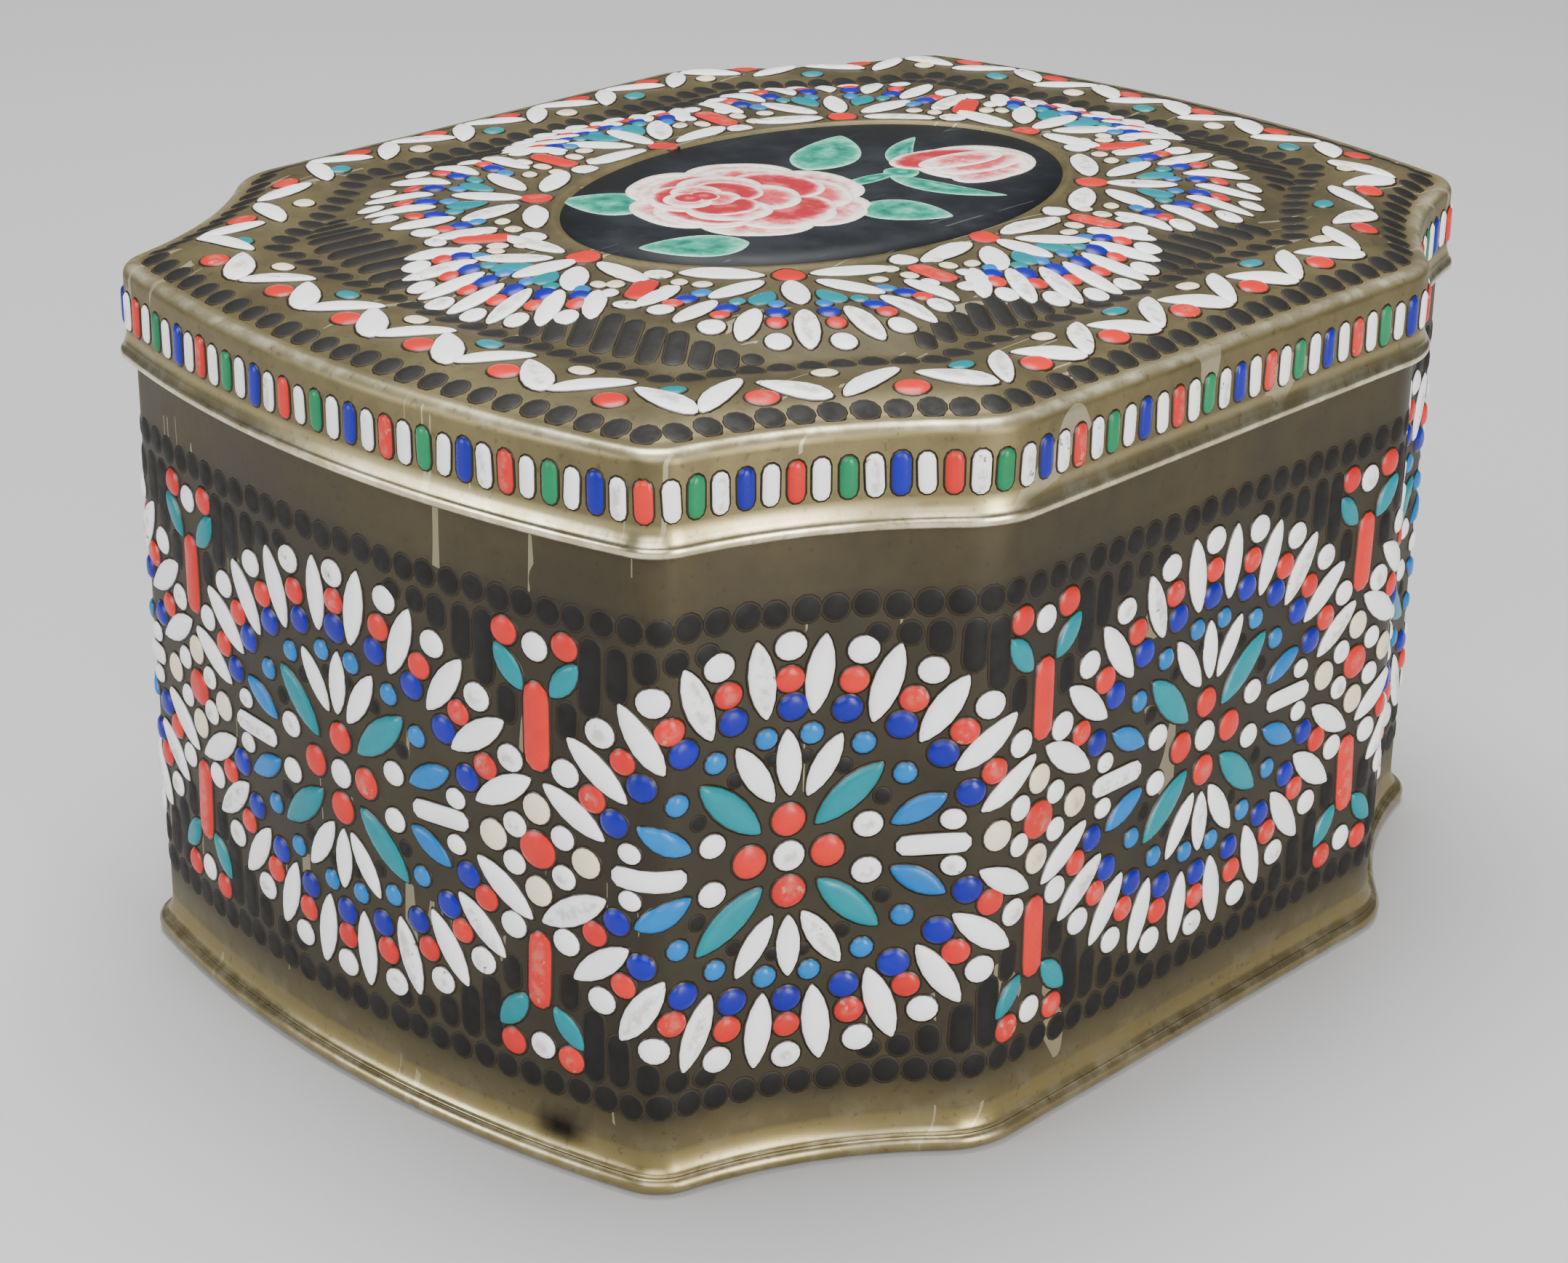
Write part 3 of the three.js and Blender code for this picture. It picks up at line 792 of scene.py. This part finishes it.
def height_field(rings):
    """Height of the lid's top over plan points: rings as radii by direction, and straight between."""
    order = np.linspace(-pi, pi, 1441)
    radii = []
    for ring in rings:
        turn = np.arctan2(ring[:, 1], ring[:, 0])
        rank = np.argsort(turn)
        radii.append(np.interp(order, turn[rank], np.hypot(ring[rank, 0], ring[rank, 1]),
                               period=2 * pi))
    radii = np.array(radii)
    heights = np.array([ring[0, 2] for ring in rings])

    def height(x, y):
        turn, reach = np.arctan2(y, x), np.hypot(x, y)
        at = np.array([np.interp(turn, order, row) for row in radii])
        k = np.clip((at > reach).sum(0), 1, len(rings) - 1)
        pick = np.arange(len(reach))
        outer, inner = at[k - 1, pick], at[k, pick]
        share = np.clip((outer - reach) / np.maximum(outer - inner, 1e-6), 0, 1)
        return heights[k - 1] * (1 - share) + heights[k] * share

    return height


# A fan's beads before its rings, mirrored across its middle: colour, shape, length, width, u, v, angle
FAN_INNER = (
    ("white", "petal", 9.6, 3.6, 5.9, 5.8, 46),
    ("green", "drop", 5.6, 3.2, 3.3, 8.4, 66),
    ("azure", "oval", 2.5, 2.1, 2.3, 10.7, 80),
    ("green", "oval", 2.5, 2.1, 6.0, 9.9, 60),
    ("azure", "oval", 2.8, 2.2, 9.6, 7.6, 40),
    ("cream", "oval", 2.5, 2.1, 9.6, 4.7, 20),
)
# Rings of a fan: colour, shape, length, width, half axes, and places along in degrees from its middle
FAN_COLUMNS = (-47.5, -28.5, -9.5, 9.5, 28.5, 47.5)
FAN_RINGS = (
    ("blue", "oval", 3.1, 2.8, 15.3, 12.6, FAN_COLUMNS),
    ("coral", "oval", 2.7, 2.5, 17.2, 15.2, FAN_COLUMNS),
    ("white", "oval", 3.7, 3.2, 19.3, 18.9, FAN_COLUMNS),
    ("white", "petal", 9.2, 3.1, 17.2, 15.9, (-57, -38, -19, 0, 19, 38, 57)),
)
FAN_LEAST_TILT = 52.0


def fan(mosaic, x, y, facing, hand, stretch, spread, sides):
    """Half a medallion: petals from a coral bead, and rings of beads and petals round them. facing is
    the direction it opens to, hand -1 mirrors it, stretch reaches further out, spread opens it wider,
    and sides gives the angles of its two lowest petals."""
    forward = np.array([cos(facing), sin(facing)])
    across = hand * np.array([forward[1], -forward[0]])

    def lay(colour, kind, length, width, u, v, angle, height=0.3, **more):
        px, py = np.array([x, y]) + u * across + v * forward
        mosaic.lay(colour, kind, length, width, [(px, py, degrees(facing) + hand * (angle - 90))],
                   height=height, **more)

    lay("coral", "oval", 4.4, 4.2, 0, 0, 90)
    lay("white", "petal", 9.4, 3.5, 0, 6.3, 90, height=0.34)
    for angle in sides:
        a = radians(angle)
        lay("white", "petal", 10.4, 3.7, 7.9 * cos(a), 7.9 * sin(a), angle, height=0.34)
    for side in (1, -1):
        for colour, kind, length, width, u, v, angle in FAN_INNER:
            out, off = hypot(u, v), side * spread * atan2(u, v)
            lay(colour, kind, length, width, out * sin(off), out * cos(off),
                90 + side * spread * (angle - 90))
    for colour, kind, length, width, ring_u, ring_v, turns in FAN_RINGS:
        for turn in turns:
            a = radians(turn * spread)
            u, v = ring_u * sin(a), ring_v * stretch * cos(a)
            square = degrees(atan2(v / ring_v ** 2, abs(u) / ring_u ** 2))
            tilt = max(square, FAN_LEAST_TILT)
            lay(colour, kind, length, width, u, v, tilt if u > 0 else 180 - tilt, height=0.34)


# Where the fans stand: on the axes, x and y of both pairs, and in the corners
AXIS_FAN, CORNER_FAN = (28.2, 40.8), (22.0, 28.2)
# Stretch, spread and sides of each kind of fan
AXIS_SHAPE, CORNER_SHAPE = (1.07, 0.9, (5, 175)), (1.1, 1.2, (-8, 188))
CORNER_FACING = radians(39)
QUARTERS = ((1, 1), (-1, 1), (-1, -1), (1, -1))
# Coral bars between the fans: x, y and the direction they point to
BARS = ((33.2, 15.0, 6.0), (13.6, 44.3, 60.0))
# Beads round each bar: out along the bar, aside, colour, length, width
BAR_BEADS = (
    (-5.9, 0.5, "white", 3.6, 3.9),
    (-4.2, -3.3, "cream", 2.4, 2.4),
    (-3.9, 3.6, "cream", 2.4, 2.2),
    (-0.9, 3.1, "cream", 2.8, 2.3),
    (-0.9, -3.1, "cream", 2.8, 2.3),
    (2.4, 3.0, "white", 2.9, 2.2),
    (2.4, -3.0, "white", 2.9, 2.2),
    (5.9, 0.0, "white", 3.0, 3.6),
)
# Rings of black dots on the lid: inset, count, length and width; rise of all its black beads
LID_DOTS = ((4.7, 134, 3.2, 3.1), (17.3, 112, 3.3, 2.9))
LID_BLACK_RISE = 0.16
# Outer points of the zigzag border, as shares of a quarter of its line from the straight side's middle
ZIGZAG_SHARES = (0.06, 0.178, 0.305, 0.465, 0.618, 0.761, 0.886, 1.0)
ZIGZAG_INSET, ZIGZAG_REACH = 10.4, 3.5
# Black pills between the fans, for one quarter: x, y, length, and direction from the X axis
SPANDREL_WIDTH = 2.4
SPANDREL_PILLS = (
    (47.1, 11.6, 3.3, 30), (46.2, 14.1, 5.6, 30), (45.3, 17.1, 7.4, 30), (45.1, 20.4, 6.6, 30),
    (45.3, 23.7, 5.4, 32), (45.5, 27.2, 4.8, 36), (46.0, 30.7, 4.2, 42),
    (36.3, 48.8, 2.2, 45), (34.6, 51.2, 4.2, 50), (32.1, 52.9, 6.4, 50), (29.3, 54.0, 7.6, 52),
    (26.4, 55.0, 8.2, 55), (23.2, 55.4, 8.4, 56), (20.0, 55.7, 8.8, 56), (16.9, 56.5, 7.8, 54),
    (14.1, 58.1, 6.2, 52), (11.4, 59.4, 4.2, 50),
)


def bearing(vectors):
    """Directions of vectors in degrees."""
    return np.degrees(np.arctan2(vectors[:, 1], vectors[:, 0]))


def lid_mosaic(rings):
    """Dots, zigzag border, spandrels and fans of the lid's top."""
    height = height_field(rings)
    ceiling = SHOULDER + PLATFORM_RISE + OVAL_RIM_RISE - 0.01

    def wrap(x, y, h):
        return np.column_stack([x, y, np.minimum(height(x, y) + h, ceiling)])

    mosaic = Mosaic("lid", wrap, jitter=0.07)

    for inset, count, length, width in LID_DOTS:
        ring = Track(plan(inset, lid_cut(inset)))
        place, normal = ring.at((np.arange(count) + 0.5) / count * ring.perimeter)
        mosaic.lay("black", "oval", length, width, np.column_stack([place, bearing(normal)]),
                   height=LID_BLACK_RISE, sectors=12)

    border = Track(plan(ZIGZAG_INSET, lid_cut(ZIGZAG_INSET)))
    shares = np.array(ZIGZAG_SHARES)
    apex = np.unique(np.concatenate([shares, 2 - shares, 2 + shares, 4 - shares])) * border.perimeter / 4
    between = (apex + np.append(apex[1:], apex[0] + border.perimeter)) / 2

    def beside(colour, length, width, s, outwards, rise):
        place, normal = border.at(s)
        mosaic.lay(colour, "oval", length, width,
                   np.column_stack([place + normal * outwards, bearing(normal) - 90]), height=rise)

    def slanted(kind, length, width, outer_s, inner_s, inwards, **more):
        outer, outer_normal = border.at(outer_s)
        inner, inner_normal = border.at(inner_s)
        start, end = outer + outer_normal * ZIGZAG_REACH, inner - inner_normal * inwards
        turn = bearing(end - start) + (180 if kind == "drop" else 0)
        mosaic.lay("white", kind, length, width,
                   np.column_stack([(start + end) / 2, turn]), height=0.4, **more)

    slanted("drop", 9.4, 3.9, apex, np.roll(between, 1), 2.2)
    slanted("petal", 10.0, 3.1, apex, between, 3.9, bend=0.3)
    beside("coral", 4.2, 3.6, between, 1.8, 0.34)
    beside("cream", 3.2, 2.8, apex[0::2], -3.2, 0.32)
    beside("green", 3.4, 2.7, apex[1::2], -3.2, 0.32)

    for turn in (0, 90, 180, 270):
        a = radians(turn)
        fan(mosaic, AXIS_FAN[0] * cos(a), AXIS_FAN[1] * sin(a), a, 1, *AXIS_SHAPE)
    for side_x, side_y in QUARTERS:
        facing = atan2(side_y * sin(CORNER_FACING), side_x * cos(CORNER_FACING))
        for x, y, length, turn in SPANDREL_PILLS:
            mosaic.lay("black", "pill", length, min(length, SPANDREL_WIDTH),
                       [(side_x * x, side_y * y, side_x * side_y * turn)], height=LID_BLACK_RISE)
        fan(mosaic, side_x * CORNER_FAN[0], side_y * CORNER_FAN[1], facing, side_x * side_y, *CORNER_SHAPE)
        for x, y, turn in BARS:
            a = atan2(side_y * sin(radians(turn)), side_x * cos(radians(turn)))
            tilt = degrees(a)
            mosaic.lay("coral", "pill", 7.8, 3.2, [(side_x * x, side_y * y, tilt)], height=0.3)
            for out, aside, colour, length, width in BAR_BEADS:
                mosaic.lay(colour, "oval", length, width,
                           [(side_x * x + out * cos(a) - aside * sin(a),
                             side_y * y + out * sin(a) + aside * cos(a), tilt)],
                           height=0.3, sectors=12)
    mosaic.build()


# Painted panel

def paint(name, dark, middle, light, roughness):
    """Painted lacquer: attribute shade leads through three colours, broken by brush-like patches."""
    made, tree, shader, place = material(name)
    strokes = patches(tree, place, 520.0, 0.3, 0.75)
    broken = share_of(tree, calc(tree, "SUBTRACT", strokes, 0.5), 0.3)
    shade = calc(tree, "ADD", attribute(tree, "shade"), broken, clamp=True)
    ramp = add_node(tree, "ShaderNodeValToRGB", {"Fac": shade})
    stops = ramp.color_ramp.elements
    stops[0].color, stops[1].color = dark, light
    stops[0].position, stops[1].position = 0.08, 0.85
    stops.new(0.45).color = middle
    rough = ranged(tree, strokes, roughness - 0.05, roughness + 0.1)
    complete(tree, shader, place, ramp.outputs["Color"], rough, 700.0, 0.15, 0.00008)
    return made


def lacquer(name, clean, dusty):
    """Black lacquer with faint dust and fine pale scratches."""
    made, tree, shader, place = material(name)
    shader.inputs["Specular IOR Level"].default_value = 0.2
    haze = patches(tree, place, 120.0, 0.4, 0.75)
    lines = use_group(tree, SCRATCHES, Vector=place, Scale=190.0, Width=0.004)
    body = blend_colour(tree, haze, clean, dusty)
    body = blend_colour(tree, share_of(tree, lines, 0.25), body, PALE_SCRATCH)
    complete(tree, shader, place, body, ranged(tree, haze, 0.46, 0.6), 500.0, 0.12, 0.0001)
    return made


ROSE_PAINT = paint("rose_paint", rgb(168, 30, 44), rgb(214, 92, 98), rgb(248, 236, 230), 0.36)
LEAF_PAINT = paint("leaf_paint", rgb(8, 96, 80), rgb(40, 158, 132), rgb(150, 214, 190), 0.36)
BLACK_LACQUER = lacquer("black_lacquer", rgb(22, 25, 29), rgb(34, 38, 43))
PANEL_Z = SHOULDER + PLATFORM_RISE + OVAL_RIM_RISE - OVAL_RECESS
# Thickness of a patch of paint, how deep its edge is sunk, and the points of a petal's outline
PAINT, PAINT_SINK, PAINT_POINTS = 0.03, 0.03, 36


def painted_patch(outline, z, shades, thickness=PAINT):
    """A thin closed patch on an outline: a sunk edge, rings drawn in to the middle of the outline, and
    an underside. shades gives the shade from the edge to the middle."""
    middle = outline.mean(0)
    depths = np.linspace(0, 1, len(shades) + 1)[:-1] ** 1.3
    rings = [middle + (outline - middle) * (1 - d) for d in depths]
    verts = [at_height(outline, z - PAINT_SINK)]
    for ring, d in zip(rings, depths):
        verts.append(at_height(ring, z + thickness * (0.4 + 0.6 * min(1, 3 * d))))
    count, around = len(verts), len(outline)
    crown = (np.arange(around) + (count - 1) * around).tolist()
    faces = ring_quads(count, around).tolist() + [crown, list(range(around))[::-1]]
    return np.concatenate(verts), faces, np.repeat([shades[0], *shades], around)


def merged_piece(name, layers, finish):
    """Several patches as one piece."""
    verts, faces, shade, start = [], [], [], 0
    for v, f, s in layers:
        verts.append(v)
        shade.append(s)
        faces += [[k + start for k in face] for face in f]
        start += len(v)
    new_piece(name, np.concatenate(verts), faces, {"shade": np.concatenate(shade)}, finish)


def placed(px, py, x, y, turn):
    """An outline turned by an angle in degrees and moved to a place."""
    c, s = cos(radians(turn)), sin(radians(turn))
    return np.column_stack([x + px * c - py * s, y + px * s + py * c])


def lobe(x, y, length, width, turn, notch=0.0):
    """Outline of a petal: an egg whose far end is broader and may be notched."""
    a = 2 * pi * np.arange(PAINT_POINTS) / PAINT_POINTS
    reach = 1 + 0.12 * np.cos(a) - notch * np.exp(-(np.minimum(a, 2 * pi - a) / 0.35) ** 2)
    return placed(length / 2 * np.cos(a) * reach, width / 2 * np.sin(a) * reach, x, y, turn)


def leaf(x, y, length, width, turn, bend):
    """Outline of a leaf: a lens with a bent midline and a fuller base."""
    a = 2 * pi * np.arange(PAINT_POINTS) / PAINT_POINTS
    px = length / 2 * np.cos(a)
    py = width / 2 * np.sign(np.sin(a)) * np.abs(np.sin(a)) ** 1.4 * (1 - 0.3 * np.cos(a))
    return placed(px, py + bend * (1 - (2 * px / length) ** 2), x, y, turn)


# Shades of a petal from its edge to its middle
PALE = (0.98, 0.88, 0.68, 0.52, 0.46)
BLUSH = (0.98, 0.88, 0.62, 0.4, 0.32)
DEEP = (0.98, 0.72, 0.14, 0.04, 0.08, 0.3)
# The bloom, seen with +Y to the right, in layers that close in towards its eye: middle of the layer,
# its reach, petals, first angle, length, width and shades
ROSE_LAYERS = (
    (-3.6, -8.9, 10.2, 6, 20, 10.8, 14.4, PALE),
    (-3.8, -9.2, 8.0, 5, 62, 11.0, 13.6, BLUSH),
    (-4.0, -9.4, 6.4, 4, 8, 11.4, 13.0, DEEP),
    (-5.6, -11.2, 4.6, 4, 52, 9.6, 11.0, BLUSH),
    (-6.8, -12.4, 3.4, 3, 100, 8.0, 9.4, DEEP),
    (-7.8, -13.2, 1.9, 3, 30, 6.0, 6.6, PALE),
    (-8.2, -13.6, 0.9, 2, 75, 4.0, 4.2, DEEP),
)
# Petals of the bud: place, length, width, turn and shades
BUD_PETALS = (
    (5.2, 23.4, 17.0, 15.4, 88, BLUSH),
    (0.9, 21.6, 15.0, 8.6, 72, DEEP),
    (9.2, 22.4, 14.6, 7.6, 96, PALE),
    (5.9, 23.8, 15.0, 7.4, 84, BLUSH),
    (3.2, 23.2, 13.4, 5.6, 78, PALE),
)
# Leaves, stem and sepals: place, length, width, turn, bend
LEAVES = (
    (5.6, -27.6, 13.6, 8.4, -124, 0.5),
    (13.8, 1.2, 12.6, 8.6, 28, 0.6),
    (-14.6, -22.8, 12.0, 9.4, -146, 0.4),
    (-11.6, 13.6, 17.4, 8.6, 118, -0.7),
    (1.2, 9.4, 10.0, 2.6, 86, 0.2),
    (1.7, 14.4, 5.4, 4.6, 92, 0.0),
    (9.8, 14.0, 17.0, 4.2, 14, -1.6),
    (-3.6, 21.8, 15.6, 3.6, 128, 1.5),
)
LEAF_SHADES = (0.92, 0.62, 0.46, 0.3, 0.24, 0.55)


def rose_panel():
    """Black oval panel with a painted rose, a bud and leaves in thin layers."""
    a = 2 * pi * np.arange(96) / 96
    oval = np.column_stack([(OVAL_X - 0.1) * np.cos(a), (OVAL_Y - 0.1) * np.sin(a)])
    merged_piece("panel_ground", [painted_patch(oval, PANEL_Z, (0.5, 0.5, 0.5), 0.02)],
                 BLACK_LACQUER)
    level = PANEL_Z + PAINT
    leaves = [painted_patch(leaf(*place), level, LEAF_SHADES) for place in LEAVES]
    merged_piece("rose_leaves", leaves, LEAF_PAINT)
    petals = []
    for x, y, reach, count, first, length, width, shades in ROSE_LAYERS:
        for k in range(count):
            turn = first + 360 * k / count
            t = radians(turn)
            level += 0.008
            petals.append(painted_patch(
                lobe(x + reach * cos(t), y + reach * sin(t), length, width, turn, 0.05),
                level, shades))
    level = PANEL_Z + 2 * PAINT
    for x, y, length, width, turn, shades in BUD_PETALS:
        petals.append(painted_patch(lobe(x, y, length, width, turn), level, shades))
        level += 0.02
    merged_piece("rose_petals", petals, ROSE_PAINT)


# Stage, light and camera

FLOOR_SIZE, FLOOR_DROP = 3.0, 0.0002
LAMP_AIM = (0, 0, 0.05)
# Lamps: name, place, width, height, power and colour
LAMPS = (
    ("key", (-0.15, 0.1, 1.1), 0.7, 0.7, 21.5, (1.0, 0.99, 0.96)),
    ("front_fill", (0.75, -0.95, 0.75), 0.9, 0.9, 12.0, (1, 1, 1)),
    ("left_fill", (-0.5, -1.0, 0.35), 0.5, 0.5, 6.5, (0.96, 0.98, 1.0)),
    ("right_fill", (1.0, -0.1, 0.28), 0.3, 0.6, 9.5, (1.0, 0.98, 0.94)),
)
# The photograph's camera: angles, distance and aim, and its focal length and width in pixels
AZIMUTH, ELEVATION, ROLL = 0.761, 0.413, 0.0127
DISTANCE, CAMERA_AIM = 0.43753, (0.012447, -0.018181, 0.043118)
FOCAL_LENGTH, PHOTO_WIDTH, SENSOR = 4715.2, 2156, 36.0


def floor_and_sky():
    """A pale floor and an even soft light."""
    bpy.ops.mesh.primitive_plane_add(size=FLOOR_SIZE, location=(0, 0, -FLOOR_DROP))
    floor = bpy.context.object
    floor.name = "floor"
    made, _, shader, _ = material("pale_floor")
    shader.inputs["Base Color"].default_value = (0.5, 0.5, 0.51, 1)
    shader.inputs["Roughness"].default_value = 0.6
    floor.data.materials.append(made)
    world = bpy.data.worlds.new("studio")
    world.use_nodes = True
    background = world.node_tree.nodes["Background"]
    background.inputs["Color"].default_value = (0.5, 0.52, 0.56, 1)
    background.inputs["Strength"].default_value = 0.26
    bpy.context.scene.world = world


def lamp(name, place, width, height, power, colour):
    """A rectangle of light turned to the box."""
    data = bpy.data.lights.new(name, "AREA")
    data.shape, data.size, data.size_y = "RECTANGLE", width, height
    data.energy, data.color = power, colour
    light = add_object(name, data)
    light.location = place
    back = np.array(place, float) - np.array(LAMP_AIM, float)
    light.rotation_euler = Vector(back).to_track_quat("Z", "Y").to_euler()


def photo_camera():
    """The photograph's camera."""
    back = np.array([sin(AZIMUTH) * cos(ELEVATION), -cos(AZIMUTH) * cos(ELEVATION),
                     sin(ELEVATION)])
    right = np.cross([0, 0, 1], back)
    right /= np.linalg.norm(right)
    up = np.cross(back, right)
    across = cos(ROLL) * right + sin(ROLL) * up
    upright = -sin(ROLL) * right + cos(ROLL) * up
    pose = Matrix(np.column_stack([across, upright, back]).tolist()).to_4x4()
    pose.translation = np.array(CAMERA_AIM) + DISTANCE * back
    data = bpy.data.cameras.new("photo_camera")
    data.sensor_width, data.sensor_fit = SENSOR, "HORIZONTAL"
    data.lens = SENSOR * FOCAL_LENGTH / PHOTO_WIDTH
    data.clip_start, data.clip_end = 0.01, 20.0
    camera = add_object("photo_camera", data)
    camera.matrix_world = pose
    bpy.context.scene.camera = camera


wall_sheet()
base_sheet()
lid_rings = lid_sheet()
wall_mosaic()
skirt_mosaic()
lid_mosaic(lid_rings)
rose_panel()
floor_and_sky()
for row in LAMPS:
    lamp(*row)
photo_camera()
